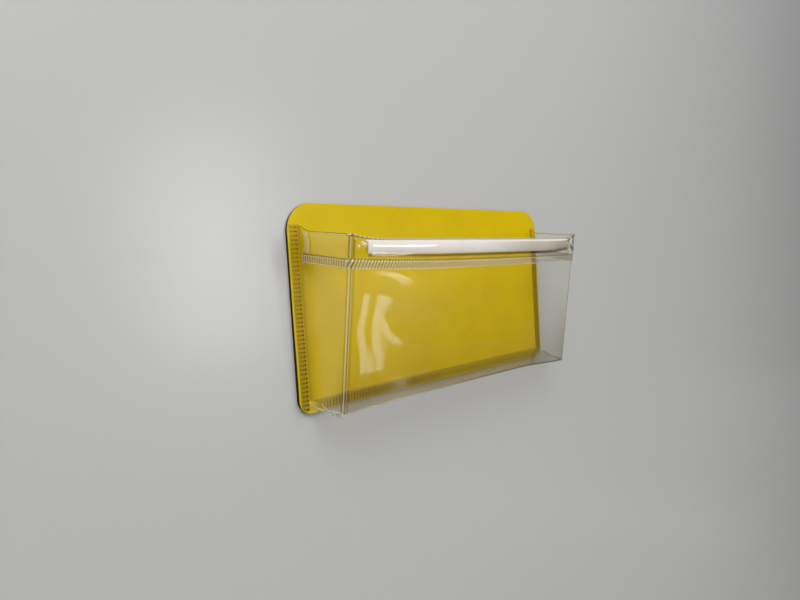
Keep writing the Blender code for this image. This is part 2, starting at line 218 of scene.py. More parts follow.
def spring(made):
    """Carry the sprung edge over to a piece: fully at the facing, less further out, not at the wall."""
    for vertex in made.data.vertices:
        x, y, z = vertex.co / MM
        hold = min(max(1 - (FACE_Y - y) / SPRUNG_REACH, 0), 1) * smooth(-0.1, -0.6, y)
        out = SPRUNG_OUT * smooth(-95, -118, x) * lerp(SPRUNG_ABOVE, 1, smooth(0, -42, z)) * smooth(58, 38, z)
        down = SPRUNG_DOWN * smooth(-78, -108, x) * smooth(-30, -56, z)
        vertex.co = Vector((x, y - out * hold, z - down * hold)) * MM


def dress(made, body, slot, *nodes):
    """Say which body a piece rides on, and the solids that it stands for. slot is not used."""
    spring(made)
    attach(made, body)
    if nodes:
        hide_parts(*nodes)
    return made


class Sheet:
    """A closed sheet in the making: points of its outer and inner face, and the quads of the outer one."""

    def __init__(self):
        self.outer = []
        self.inner = []
        self.quads = []
        self.shades = {"pale": [], "dark": []}

    def point(self, outer, inner, pale=0.0, dark=0.0):
        """Add a point and return its number."""
        self.outer.append(Vector(outer))
        self.inner.append(Vector(inner))
        self.shades["pale"].append(pale)
        self.shades["dark"].append(dark)
        return len(self.outer) - 1

    def fill(self, rows):
        """Join rows of point numbers: rows run upwards, and columns rightwards seen from outside."""
        for low, high in zip(rows, rows[1:]):
            for column in range(len(low) - 1):
                self.quads.append((low[column], low[column + 1], high[column + 1], high[column]))

    def grid(self, columns, rows, spot):
        """Points for every row and column. spot gives a point's outer and inner place, and its shades."""
        self.fill([[self.point(*spot(column, row)) for column in columns] for row in rows])

    def piece(self, name, look, sharp=40):
        """Close the sheet along its edges and make it a piece."""
        count = len(self.outer)
        sides = set()
        for quad in self.quads:
            sides.update(zip(quad, quad[1:] + quad[:1]))
        faces = list(self.quads)
        faces += [tuple(count + number for number in reversed(quad)) for quad in self.quads]
        faces += [(b, a, count + a, count + b) for a, b in sides if (b, a) not in sides]
        shades = {shade: values * 2 for shade, values in self.shades.items()}
        return piece(name, self.outer + self.inner, faces, look, shades, sharp)


# Shape of the pocket's walls

Column = namedtuple("Column", "foot head share x")


def half_at(depth):
    """Half the pocket's width at a depth."""
    return ROOT_HALF - TOE * depth


def flared_at(depth):
    """Half the width of the film, which flares where it leaves the facing."""
    return half_at(depth) + ROOT_FLARE * math.exp(-depth / ROOT_FLARE_RUN)


def depth_at(z):
    """Depth of the front at a height."""
    return CREASE_DEPTH + (z - CREASE_Z) * SLOPE


def crease_z(x):
    """Height of the crease under the front."""
    middle = CREASE_BELLY * (1 - (x / half_at(CREASE_DEPTH)) ** 2)
    return CREASE_Z + CREASE_LEFT + middle - CREASE_DROP * smooth(50, 108, x)


def rim_skew(x):
    """How much higher the rim sits on the left than on the right."""
    return lerp(RIM_LEFT, RIM_RIGHT, 0.5 + x / half_at(RIM_DEPTH) / 2)


def front_rim_z(x):
    """Height of the rim along the front: it dips between the corners."""
    inwards = half_at(RIM_DEPTH) - abs(x)
    dip = RIM_DIP * (1 - math.exp(-((max(inwards, 0) / RIM_DIP_RUN) ** 1.4)))
    return RIM_Z + rim_skew(x) - dip + RIM_TIP * smooth(99, 106, x)


def gusset_rim_z(depth, side):
    """Height of the rim on a gusset: it climbs steeply where the film leaves the facing."""
    share = depth / RIM_DEPTH
    climb = RIM_RISE_KNEE * (1 - share) / (1 - KNEE_DEPTH / RIM_DEPTH)
    steep = (RIM_RISE_ROOT - RIM_RISE_KNEE) * max(1 - depth / STEEP_DEPTH, 0) ** 2
    return RIM_Z + climb + steep + rim_skew(side * half_at(RIM_DEPTH)) * share


def floor_z(depth, x):
    """Height of the floor's outside at a depth."""
    return lerp(EDGE_Z + FLOOR_HEIGHT, crease_z(x), depth / CREASE_DEPTH)


def hem_top(column):
    """Height of the hem's upper line."""
    front = EDGE_Z + HEM_HEIGHT + HEM_SAG * math.exp(-(column.x + half_at(RIM_DEPTH)) / HEM_SAG_RUN)
    return lerp(EDGE_Z + HEM_ROOT_HEIGHT, front, column.share)


def fillet(corner, back, ahead, radius, steps=ARC_STEPS):
    """Points of an arc that rounds a corner between two directions, in a plane."""
    half = back.angle(ahead) / 2
    centre = corner + (back + ahead).normalized() * radius / math.sin(half)
    first = corner + back * radius / math.tan(half) - centre
    last = corner + ahead * radius / math.tan(half) - centre
    sweep = first.angle(last)
    side = (last - first * math.cos(sweep)) / math.sin(sweep)
    turns = [sweep * step / steps for step in range(steps + 1)]
    return [centre + first * math.cos(turn) + side * math.sin(turn) for turn in turns]


def left_columns():
    """Columns of the wall from the left lip round to the front's left edge."""
    across = Vector((1, 0, 0))
    ahead = Vector((TOE, -1, 0)).normalized()
    made = []

    lip_y = FACE_Y - LIP_DEPTH
    flared = Vector((TOE + ROOT_FLARE / ROOT_FLARE_RUN, -1, 0)).normalized()
    root = fillet(Vector((-flared_at(LIP_DEPTH), lip_y, 0)), -across, flared, ROOT_RADIUS)
    start = FACE_Y - root[-1].y
    for spot in [Vector((-LIP_X, FACE_Y - HAIR - LIP_EDGE, 0)), *root]:
        depth = FACE_Y - spot.y
        foot = Vector((spot.x, spot.y, floor_z(depth, spot.x)))
        head = Vector((spot.x, spot.y, gusset_rim_z(depth, -1)))
        made.append(Column(foot, head, 0.0, -half_at(0)))

    arcs = []
    for depth, z in ((CREASE_DEPTH, crease_z(-half_at(0))), (RIM_DEPTH, RIM_Z + RIM_LEFT)):
        corner = Vector((-half_at(depth), FACE_Y - depth, z))
        arcs.append(fillet(corner, -ahead, across, CORNER_RADIUS))
    foot_end, head_end = (FACE_Y - arc[0].y for arc in arcs)
    steps = 26
    for step in range(1, steps):
        share = step / steps
        low = lerp(start, foot_end, share)
        high = lerp(start, head_end, share)
        foot = Vector((-flared_at(low), FACE_Y - low, floor_z(low, -half_at(low))))
        head = Vector((-flared_at(high), FACE_Y - high, gusset_rim_z(high, -1)))
        made.append(Column(foot, head, share, -half_at(RIM_DEPTH)))
    made += [Column(foot, head, 1.0, -half_at(RIM_DEPTH)) for foot, head in zip(*arcs)]
    return made


def front_column(share):
    """A column of the front, at a share of its half width from the middle."""
    low_x = share * (half_at(CREASE_DEPTH) - CORNER_INSET)
    high_x = share * (half_at(RIM_DEPTH) - CORNER_INSET)
    low_z = crease_z(low_x)
    high_z = front_rim_z(high_x)
    foot = Vector((low_x, FACE_Y - depth_at(low_z), low_z))
    head = Vector((high_x, FACE_Y - depth_at(high_z), high_z))
    return Column(foot, head, 1.0, high_x)


def mirrored(column):
    """The same column on the right, at the heights of the right side."""
    skew = column.share * (RIM_RIGHT - RIM_LEFT) - RIM_SINK * (1 - column.share)
    skew += RIM_TIP * smooth(0.93, 1, column.share)
    drop = column.share * (crease_z(half_at(0)) - crease_z(-half_at(0)))
    foot = Vector((-column.foot.x, column.foot.y, column.foot.z + drop))
    head = Vector((-column.head.x, column.head.y, column.head.z + skew))
    return Column(foot, head, column.share, -column.x)


FRONT_STEPS = 150
LEFT = left_columns()
FRONT = [front_column(2 * step / FRONT_STEPS - 1) for step in range(1, FRONT_STEPS)]
RIGHT = [mirrored(column) for column in reversed(LEFT)]
COLUMNS = LEFT + FRONT + RIGHT
FRONT_FIRST = len(LEFT) - 1
FRONT_LAST = len(LEFT) + len(FRONT)
RUNS = [0.0]
for before, after in zip(COLUMNS, COLUMNS[1:]):
    RUNS.append(RUNS[-1] + (after.head - before.head).length)


def column_at(run):
    """The wall's column at a distance along the rim from the left lip."""
    low = 0
    high = len(RUNS) - 1
    while high - low > 1:
        middle = (low + high) // 2
        if RUNS[middle] <= run:
            low = middle
        else:
            high = middle
    share = (run - RUNS[low]) / (RUNS[high] - RUNS[low])
    return Column(*[lerp(a, b, share) for a, b in zip(COLUMNS[low], COLUMNS[high])])


def facing_out(column, run):
    """The wall's outward direction at a column."""
    ahead = column_at(min(run + 0.3, RUNS[-1])).head - column_at(max(run - 0.3, 0)).head
    ahead.z = 0
    return ahead.cross(column.head - column.foot).normalized()


def on_wall(column, z):
    """The point of a column at a height."""
    return lerp(column.foot, column.head, (z - column.foot.z) / (column.head.z - column.foot.z))


# Ripples of the film

def front_ripple(x, s):
    """How far the front bulges at a place, s being measured up from the crease.

    It has upright folds at the left, and three flat waves that run down to the right from there:
    flare under the hem, middle, and low. Its borders are held flat by the welds and folds.
    """
    slack = smooth(1, 9, s) * smooth(81, 77, s) * smooth(108, 104, abs(x))
    tall = smooth(6, 24, s) * smooth(76, 64, s)
    t = x + 86.5 + 3.2 * bump(46, 11, s) - 2.5 * smooth(40, 24, s) * smooth(-95, -90, x)
    soft = (t + math.hypot(t, 3)) / 2
    fold = 0.05 * noise.noise(Vector((x / 3.4, s / 45, 1.3))) * smooth(-7, -11, t)
    fold += 0.30 * smooth(-21, -13, t) + 0.22 * smooth(-8.5, -1, t)
    fold += 0.61 * smooth(-58, 20, x) - 1.1 * math.tanh(soft / 28)
    flare = s - (78.5 - 0.28 * (x + 90) - 0.0016 * (x + 90) ** 2)
    flare = 0.2 * bump(2.4, 2.4, flare) * smooth(-98, -90, x) * smooth(-35, -60, x)
    middle = s - 55.5 - 4.5 * math.exp(-(x + 84) / 12)
    middle = 0.2 * bump(3, 3.6, middle) * smooth(-86, -78, x) * smooth(30, -40, x)
    low = s - 24.3 + 0.07 * x - 16.8 * math.exp(-(x + 84) / 13)
    low = 0.34 * bump(3, 3.0, low) * smooth(-86, -78, x) * smooth(80, 10, x)
    broad = 0.03 * noise.noise(Vector((x / 17, s / 11, 3.7)))
    return slack * (fold * tall + flare + middle + low + broad)


def gusset_ripple(share, rise):
    """How far a gusset bows in, at shares of its depth and of its height."""
    return -0.9 * math.sin(math.pi * share) * math.sin(math.pi * min(rise / 0.85, 1))


# Shader maths

class Value:
    """A shader socket that arithmetic works on."""

    def __init__(self, look, socket):
        self.look = look
        self.socket = socket

    def __add__(self, other):
        return self.look.maths("ADD", self, other)

    def __sub__(self, other):
        return self.look.maths("SUBTRACT", self, other)

    def __rsub__(self, other):
        return self.look.maths("SUBTRACT", other, self)

    def __mul__(self, other):
        return self.look.maths("MULTIPLY", self, other)

    def __pow__(self, other):
        return self.look.maths("POWER", self, other)

    __radd__ = __add__
    __rmul__ = __mul__


class Look:
    """A material, or the world, in the making."""

    def __init__(self, owner):
        owner.use_nodes = True
        self.owner = owner
        self.tree = owner.node_tree
        self.tree.nodes.clear()

    def node(self, kind, settings, sockets, take=0):
        """Add a node: its settings first, then the values or links of its sockets. Returns one output."""
        made = self.tree.nodes.new("ShaderNode" + kind)
        for name, value in settings.items():
            setattr(made, name, value)
        for name, value in sockets.items():
            if isinstance(value, Value):
                self.tree.links.new(value.socket, made.inputs[name])
            else:
                made.inputs[name].default_value = value
        return Value(self, made.outputs[take])

    def maths(self, operation, first, second):
        """One sum, difference, product or power."""
        return self.node("Math", {"operation": operation}, {0: first, 1: second})

    def place(self):
        """The place on the object, in metres."""
        return self.node("TexCoord", {}, {}, "Object")

    def scaled(self, vector, scale):
        """A vector with each part multiplied."""
        return self.node("VectorMath", {"operation": "MULTIPLY"}, {0: vector, 1: scale})

    def noise(self, vector, size, detail=2.0, roughness=0.5):
        """Noise from 0 to 1 whose blotches measure about size, in millimetres."""
        sockets = {"Vector": vector, "Scale": 1 / (size * MM), "Detail": detail, "Roughness": roughness}
        return self.node("TexNoise", {}, sockets, "Fac")

    def step(self, value, low, high):
        """0 where value is below low, 1 above high."""
        sockets = {"Value": value, "From Min": low, "From Max": high}
        return self.node("MapRange", {"interpolation_type": "SMOOTHSTEP"}, sockets)

    def colour(self, factor, first, second):
        """A mix of two colours, each plain or linked. A Mix node takes them in 6 and 7 and gives 2."""
        first, second = ((*tone, 1) if isinstance(tone, tuple) else tone for tone in (first, second))
        return self.node("Mix", {"data_type": "RGBA"}, {0: factor, 6: first, 7: second}, 2)

    def relief(self, height, depth):
        """A normal from a height of 0 to 1 that stands for a depth in millimetres."""
        return self.node("Bump", {}, {"Height": height, "Distance": depth * MM, "Strength": 1.0})

    def skin(self, colour, roughness, **more):
        """A Principled shader. Further sockets are named with underscores for spaces."""
        sockets = {"Base Color": colour, "Roughness": roughness}
        sockets.update({name.replace("_", " "): value for name, value in more.items()})
        return self.node("BsdfPrincipled", {}, sockets)

    def mix(self, factor, first, second):
        """A mix of two shaders."""
        return self.node("MixShader", {}, {0: factor, 1: first, 2: second})

    def done(self, shader):
        """Show the shader and return the material or world."""
        kind = "World" if isinstance(self.owner, bpy.types.World) else "Material"
        made = self.tree.nodes.new("ShaderNodeOutput" + kind)
        self.tree.links.new(shader.socket, made.inputs["Surface"])
        return self.owner


def new_look(name):
    """A material with no nodes yet."""
    return Look(bpy.data.materials.new(name))


# Materials

YELLOW = (0.620, 0.440, 0.0)
YELLOW_WORN = (0.585, 0.408, 0.0)
RUBBER = (0.012, 0.009, 0.008)
RUBBER_CUT = (0.030, 0.021, 0.016)
PAPER = (0.860, 0.810, 0.770)
PAPER_SHADE = (0.805, 0.750, 0.710)
CLEAR = (0.998, 0.997, 0.990)
CLEAR_DEEP = (0.40, 0.37, 0.27)
PALE_FILM = (0.78, 0.74, 0.60)
DARK_FILM = (0.31, 0.25, 0.11)
DUST = (0.12, 0.09, 0.03)


def facing_look():
    """Satin yellow plastic with a fine grain and a few specks of dust."""
    look = new_look("yellow_plastic")
    place = look.place()
    patch = look.noise(place, 38, 3.0)
    grain = look.noise(place, 0.5, 2.0)
    speck = look.node("TexVoronoi", {"feature": "F1"}, {"Vector": place, "Scale": 1 / (13 * MM)}, "Distance")
    dust = 1 - look.step(speck, 0.018, 0.03)
    base = look.colour(look.step(patch, 0.35, 0.7), YELLOW, YELLOW_WORN)
    base = look.colour(dust * 0.8, base, DUST)
    normal = look.relief(grain, 0.012)
    return look.done(look.skin(base, 0.23 + patch * 0.07, Normal=normal, IOR=1.28))


def rubber_look():
    """Dark magnetic rubber: a rough skin with fine pits, blotched with the browner tone of its cut edge."""
    look = new_look("magnetic_rubber")
    place = look.place()
    grain = look.noise(place, 0.35, 4.0, 0.6)
    cloud = look.noise(place, 22, 4.0)
    streak = look.noise(look.scaled(place, (0.04, 1, 1)), 0.9, 3.0)
    base = look.colour(look.step(cloud * 0.6 + grain * 0.4, 0.35, 0.68), RUBBER, RUBBER_CUT)
    normal = look.relief(grain * 0.7 + streak * 0.3, 0.05)
    return look.done(look.skin(base, 0.6 + cloud * 0.3, Normal=normal, IOR=1.2))


def paper_look():
    """Plain card with a soft fibre."""
    look = new_look("label_card")
    place = look.place()
    fibre = look.noise(look.scaled(place, (0.25, 1, 1)), 0.5, 5.0, 0.65)
    cloud = look.noise(place, 18, 2.0)
    base = look.colour(look.step(fibre * 0.5 + cloud * 0.5, 0.4, 0.62), PAPER, PAPER_SHADE)
    return look.done(look.skin(base, 0.62, Normal=look.relief(fibre, 0.02)))


def film_look(name, mist, grain_depth, roughness, glaze):
    """Clear plastic film. Its folds and pressed lines carry two attributes, pale and dark, mostly painted
    highlights and shade.

    mist is how milky it is all over, and glaze is how much it mirrors seen straight on.
    """
    look = new_look(name)
    place = look.place()
    normal = look.relief(look.noise(place, 0.9, 3.0), grain_depth)
    graze = look.node("LayerWeight", {}, {"Blend": 0.5, "Normal": normal}, "Facing")
    pale = look.node("Attribute", {"attribute_name": "pale"}, {}, "Fac")
    dark = look.node("Attribute", {"attribute_name": "dark"}, {}, "Fac")
    haze_and_sheen = look.noise(place, 9, 4.0, 0.6)
    clear = look.node("BsdfTransparent", {}, {"Color": (*CLEAR, 1)})
    deep = look.node("BsdfTransparent", {}, {"Color": (*CLEAR_DEEP, 1)})
    through = look.mix(graze ** 5, clear, deep)
    veil = look.skin((*PALE_FILM, 1), 0.35)
    body = look.mix(mist * (0.6 + haze_and_sheen * 0.8) + pale * 0.9, through, veil)
    shade = look.node("BsdfTransparent", {}, {"Color": (*DARK_FILM, 1)})
    body = look.mix(dark * 0.8, body, shade)
    gloss = look.node("BsdfGlossy", {}, {"Color": (1, 1, 1, 1), "Roughness": roughness, "Normal": normal})
    return look.done(look.mix(glaze + graze ** 5 * 0.8, body, gloss))


FACING = facing_look()
MAGNET = rubber_look()
CARD = paper_look()
CLEAR_FILM = film_look("clear_film", 0.0, 0.006, 0.08, 0.009)
SLEEVE_FILM = film_look("sleeve_film", 0.003, 0.001, 0.06, 0.022)
PRESSED_FILM = film_look("pressed_film", 0.0, 0.01, 0.25, 0.006)
WELDED_FILM = film_look("welded_film", 0.0, 0.01, 0.2, 0.02)


# The sheet

def corner_cut(x, radius):
    """How far a rounded corner takes the sheet's edge in at a distance across."""
    reach = abs(x) - (SHEET_HIGH.x - radius)
    return radius - math.sqrt(max(radius * radius - reach * reach, 0)) if reach > 0 else 0


def sheet_slab(name, front_y, back_y, look):
    """A slab of the sheet's outline with eased edges, in columns that crowd into the corners."""
    ends = [0, CUT_BEVEL, 0.35, 0.7, 1.2, 1.8, 2.5, 3.4, 4.5, 5.8, 7.2, 8.8, 10.6, 12.6, 14.9, 17.5]
    columns = [-SHEET_HIGH.x + inset for inset in ends]
    columns += [-100 + 5 * step for step in range(41)]
    columns += [SHEET_HIGH.x - inset for inset in reversed(ends)]
    rows = [0, 0.001, 0.01, 0.03, 0.06, 0.1, *[step / 24 for step in range(3, 24)], 0.999, 1]

    def spot(x, share):
        """The front and back place at a distance across and a share of the height there."""
        low = SHEET_LOW.z + corner_cut(x, BOTTOM_CORNER)
        high = SHEET_HIGH.z - corner_cut(x, TOP_CORNER)
        ease = CUT_BEVEL if share in (0, 1) or abs(x) == SHEET_HIGH.x else 0
        z = lerp(low, high, share)
        return Vector((x, front_y + ease, z)), Vector((x, back_y - ease, z))

    sheet = Sheet()
    sheet.grid(columns, rows, spot)
    return sheet.piece(name, look, 30)


def sheet_pieces():
    """The magnetic rubber and the facing on it."""
    rubber = sheet_slab("rubber_sheet", SHEET_LOW.y, SHEET_HIGH.y, MAGNET)
    dress(rubber, "pocket", "magnetic_rubber", "magnet_sheet")
    facing = sheet_slab("facing_sheet", FACE_Y, SHEET_LOW.y - HAIR / 2, FACING)
    dress(facing, "pocket", "yellow_facing", "yellow_facing")


# Welded bands on the facing

def weld_band(name, node, pitch, upright):
    """A ribbed band pressed onto the facing, in the box of its solid.

    An upright one runs on downwards into the sheet's corner.
    """
    low, high = edges(node)
    if upright:
        low.z -= WELD_RUN_ON
        if low.x < 0:
            low.x -= LEFT_WIDER
    else:
        low.z, high.z = EDGE_Z + BOTTOM_WELD[0], EDGE_Z + BOTTOM_WELD[1]
    length = high.z - low.z if upright else high.x - low.x
    width = high.x - low.x if upright else high.z - low.z
    side = 1 if low.x > 0 else -1
    count = int(length / WELD_STEP)
    along_steps = [step / count for step in range(count + 1)]
    across_steps = [step / 18 for step in range(19)]

    def spot(across, along):
        """Shares across the band, from its outer to its inner side, and along it."""
        gap = (along * length / pitch + 0.5) % 1 - 0.5
        across_mm = across * width
        rib = smooth(0.5, 0.3, abs(gap)) * smooth(0.15, 0.6, across_mm) * smooth(0.2, 0.8, width - across_mm)
        border = smooth(0, 0.4, across_mm) * smooth(0, 0.4, width - across_mm)
        # Painted shade lies between the ribs, most at their inner ends, and a thin dark lies all over, more
        # towards the bottom
        groove_shade = smooth(0.3, 0.5, abs(gap)) * smooth(0.3, 0.9, across_mm)
        end_shade = smooth(0.24, 0.42, abs(gap)) * smooth(1.5, 0.9, width - across_mm) * lerp(0.48, 0.32, along)
        dark = border * min(0.25 * groove_shade + end_shade + lerp(0.26, 0.14, along), 1)
        # The bottom band is darker over its middle, a little more to the right, with painted shade between
        # the ribs of its left part
        if not upright:
            soft = smooth(0, 2.4, across_mm) * smooth(0, 2.4, width - across_mm)
            gap_shade = smooth(0.12, 0.36, abs(gap)) * smooth(0.02, 0.07, along) * smooth(0.55, 0.3, along)
            dark = lerp(0.1, 0.16, smooth(0.1, 0.5, along)) * soft + 0.48 * border * gap_shade
        # The right band is darker across most of its width instead, fading out at its top
        elif side > 0:
            dark = 0.3 * smooth(-1.5, 2, width - across_mm) * smooth(1, 0.8, along)
        height = lerp(WELD_FOOT, WELD_RISE, border) + WELD_RIB * rib
        if upright:
            outer, inner = (high.x, low.x) if side > 0 else (low.x, high.x)
            x = lerp(outer, inner, across)
            z = lerp(low.z, high.z, along)
            limit = SHEET_HIGH.x - corner_cut(SHEET_HIGH.x - (z - SHEET_LOW.z), BOTTOM_CORNER) - 0.5
            x = side * min(abs(x), limit - across * 0.01)
        else:
            x = lerp(low.x, high.x, along)
            z = lerp(low.z, high.z, across)
        return Vector((x, FACE_Y - HAIR - height, z)), Vector((x, FACE_Y - HAIR, z)), 0.0, dark

    sheet = Sheet()
    if upright and side > 0:
        sheet.grid(list(reversed(across_steps)), along_steps, spot)
    elif upright:
        sheet.grid(across_steps, along_steps, spot)
    else:
        sheet.grid(along_steps, across_steps, lambda along, across: spot(across, along))
    return dress(sheet.piece(name, PRESSED_FILM, 60), "pocket", "welded_film", node)


# The folded film

def fold_painted_light(share):
    """Painted highlights and shade along the corner fold, from its gusset side to its front side."""
    dark = 0.45 * bump(0.06, 0.07, share) + 0.5 * bump(0.62, 0.1, share) + 0.35 * bump(0.97, 0.06, share)
    return 0.45 * bump(0.33, 0.12, share) + 0.2 * bump(0.82, 0.08, share), dark


def wall_painted_light(index):
    """Painted light of a wall's column, by its number: highlights and shade along the corner folds, shade at
    the gussets' roots, and a sheen on the left gusset.
    """
    if FRONT_FIRST - ARC_STEPS <= index <= FRONT_FIRST:
        return fold_painted_light(1 - (FRONT_FIRST - index) / ARC_STEPS)
    if FRONT_LAST <= index <= FRONT_LAST + ARC_STEPS:
        share = (index - FRONT_LAST) / ARC_STEPS
        return 0.3 * bump(0.1, 0.1, share), 0.3 * bump(0.55, 0.25, share)
    left = index < len(COLUMNS) / 2
    root = index if left else len(COLUMNS) - 1 - index
    haze_and_sheen = 0.0
    # A painted sheen on the left gusset
    if ARC_STEPS < index < FRONT_FIRST:
        haze_and_sheen = GUSSET_PAINTED_SHEEN * smooth(0.18, 0.32, COLUMNS[index].share)
    return haze_and_sheen, (0.2 if left else 0.3) * smooth(ARC_STEPS + 8, ARC_STEPS - 4, root)


def pocket_film():
    """The blank: lips, gussets and front in one band, and the floor that turns up into the front."""
    sheet = Sheet()
    steps = 74
    rows = []
    for row in range(steps + 1):
        rise = row / steps
        numbers = []
        for index, column in enumerate(COLUMNS):
            out = facing_out(column, RUNS[index])
            spot = lerp(column.foot, column.head, rise)
            if FRONT_FIRST <= index <= FRONT_LAST:
                climb = (spot.z - column.foot.z) / math.cos(LEAN)
                bulge = front_ripple(spot.x, climb)
            elif 0.0 < column.share < 1.0:
                bulge = gusset_ripple(column.share, rise)
            else:
                bulge = 0
            outer = spot + out * bulge
            thick = LIP_EDGE if index in (0, len(COLUMNS) - 1) else FILM
            pale, dark = wall_painted_light(index)
            # Painted shade towards the front's foot
            dark += FOOT_SHADE * smooth(0.6, 0, rise) * column.share ** 4
            numbers.append(sheet.point(outer, outer - out * thick, pale, dark))
        rows.append(numbers)
    sheet.fill(rows)

    foot_columns = COLUMNS[FRONT_FIRST:FRONT_LAST + 1]
    profiles = [floor_profile(column.foot.x) for column in foot_columns]
    floor_rows = []
    for step in range(len(profiles[0])):
        numbers = []
        for column, profile in zip(foot_columns, profiles):
            spot, out, narrow = profile[step]
            x = column.foot.x * narrow
            outer = Vector((x, spot.y, spot.z))
            # Painted light on the floor: a highlight along its upturned crease on the left, shade along it on
            # the right, and a little shade away from the facing
            fold = smooth(CREASE_DEPTH - 2.2, CREASE_DEPTH - 0.4, FACE_Y - spot.y)
            right = smooth(-70, 60, x)
            dark = 0.06 * smooth(0, 10, FACE_Y - spot.y) + 0.35 * fold * right
            numbers.append(sheet.point(outer, outer - out * FILM, 0.5 * fold * (1 - right), dark))
        floor_rows.append(numbers)
    sheet.fill(floor_rows + [rows[0][FRONT_FIRST:FRONT_LAST + 1]])
    made = sheet.piece("pocket_film", CLEAR_FILM)
    nodes = ["front_panel", "bottom_panel", "bottom_crease", "bottom_root_fold"]
    for side in ("left", "right"):
        nodes += [side + "_gusset", side + "_corner_fold", side + "_root_fold"]
    return dress(made, "pocket", "clear_film", *nodes)


def floor_profile(x):
    """Points of the floor from its lip on the facing to the front's foot: place, outward direction, width."""
    lip_y = FACE_Y - LIP_DEPTH
    crease = Vector((0, FACE_Y - depth_at(crease_z(x)), crease_z(x)))
    root = Vector((0, lip_y, EDGE_Z + FLOOR_HEIGHT))
    ahead = (crease - root).normalized()
    line = [Vector((0, lip_y, BOTTOM_LIP_Z))]
    line += fillet(root, -UP, ahead, 1.0, FLOOR_ARC_STEPS)
    line += [lerp(root, crease, share) for share in (0.15, 0.3, 0.45, 0.6, 0.75, 0.88)]
    line += fillet(crease, -ahead, UP_FRONT, CREASE_RADIUS, FLOOR_ARC_STEPS)[:-1]
    made = []
    for number, spot in enumerate(line):
        before = line[max(number - 1, 0)]
        after = line[number + 1] if number + 1 < len(line) else crease + UP_FRONT
        along = (after - before).normalized()
        out = Vector((1, 0, 0)).cross(along)
        depth = FACE_Y - spot.y
        inset = lerp(FILM + HAIR, CORNER_RADIUS, smooth(CREASE_DEPTH - 5, CREASE_DEPTH - 1, depth))
        made.append((spot, out, (half_at(depth) - inset) / (half_at(CREASE_DEPTH) - CORNER_INSET)))
    return made


# The sleeve round the top

def sleeve_front(column):
    """0 on the gussets and at the corners, rising to 1 a little way along the front."""
    half = half_at(RIM_DEPTH)
    return smooth(half, half - SLEEVE_RUN, abs(column.head.x)) if column.share == 1 else 0.0


def sleeve_rise(share, front):
    """How far the sleeve's outer face stands off the wall between the hem and the rim."""
    stand = lerp(0.35, SLEEVE_STAND, front) * (1 - abs(2 * share - 1) ** 9)
    bow = SLEEVE_BOW * front * (1 - (2 * share - 1) ** 2)
    return HEM_BASE + stand + bow


def band_columns(pitch, first):
    """Runs, columns and outward directions at an even pitch from one gusset's root to the other's."""
    last = RUNS[-1] - first
    count = round((last - first) / pitch)
    for step in range(count + 1):
        run = lerp(first, last, step / count)
        column = column_at(run)
        yield run, column, facing_out(column, run)


def corner_share(column):
    """1 on the front, falling to 0 just round the corner on a gusset."""
    return smooth(0.96, 1.0, column.share)


def label_up(x, share):
    """How far up the leaning front a place of the label lies from its middle."""
    low, high = edges("label_strip")
    height = (high.z - low.z) / math.cos(LEAN) * LABEL_TALL
    lift = 1.2 * smooth(-40, -100, x) + 1.8 * smooth(66, 97, x) ** 1.4
    skew = lerp(1.25, 0.3, (x - low.x) / (high.x - low.x))
    return height * (share - 0.5) + lift * (1 - share) + skew


def label_shade(x, z):
    """Painted shadows of the label: the dark line under it and the one beside its left end, and painted shade
    that grows towards the right, most where its right end curls.
    """
    low, high = edges("label_strip")
    foot = (low.z + high.z) / 2 + label_up(min(max(x, low.x), high.x), 0) * math.cos(LEAN)
    along = smooth(low.x - 1, low.x + 1, x) * smooth(high.x + 4, high.x - 2, x)
    under = lerp(0.75, 0.85, smooth(-60, 60, x)) * bump(foot - 0.8, 0.75, z) * along
    under += (0.16 * smooth(0, 55, x) + 0.12 * smooth(62, 92, x)) * smooth(foot - 1, foot, z)
    beside = 0.5 * bump(low.x - 0.9, 0.7, x) * smooth(foot, foot + 1, z) * smooth(foot + 7.5, foot + 6, z)
    return under + beside


def painted_glints(x, z):
    """Three small painted glints: a streak and a dot beside the label, a star at the crushed corner."""
    streak = bump(34.2 - 0.37 * (x + 102), 0.45, z) * smooth(-102.8, -101.8, x) * smooth(-98.2, -98.9, x)
    dot = bump(0, 0.75, math.hypot(x + 104.0, z - 32.2))
    star = bump(0, 1.5, math.hypot((x - 100.5) * 0.7, z - 31.9))
    return 0.95 * (streak + dot + star)


def corner_place(run):
    """The share of a corner fold at a distance along the rim, from its gusset side, and the side."""
    left = (run - RUNS[FRONT_FIRST - ARC_STEPS]) / (RUNS[FRONT_FIRST] - RUNS[FRONT_FIRST - ARC_STEPS])
    right = (RUNS[FRONT_LAST + ARC_STEPS] - run) / (RUNS[FRONT_LAST + ARC_STEPS] - RUNS[FRONT_LAST])
    return min(left, right), left < right


def crumple(spot):
    """Small sharp dents where the film's upper right corner is crushed."""
    near = bump(103, 7, spot.x) * smooth(18, 30, spot.z) * smooth(-30, -42, spot.y)
    if near < 0.02:
        return 0.0
    place = spot / 5.5
    return near * 1.1 * (abs(noise.noise(place)) + 0.5 * abs(noise.noise(place * 2.1)) - 0.25)


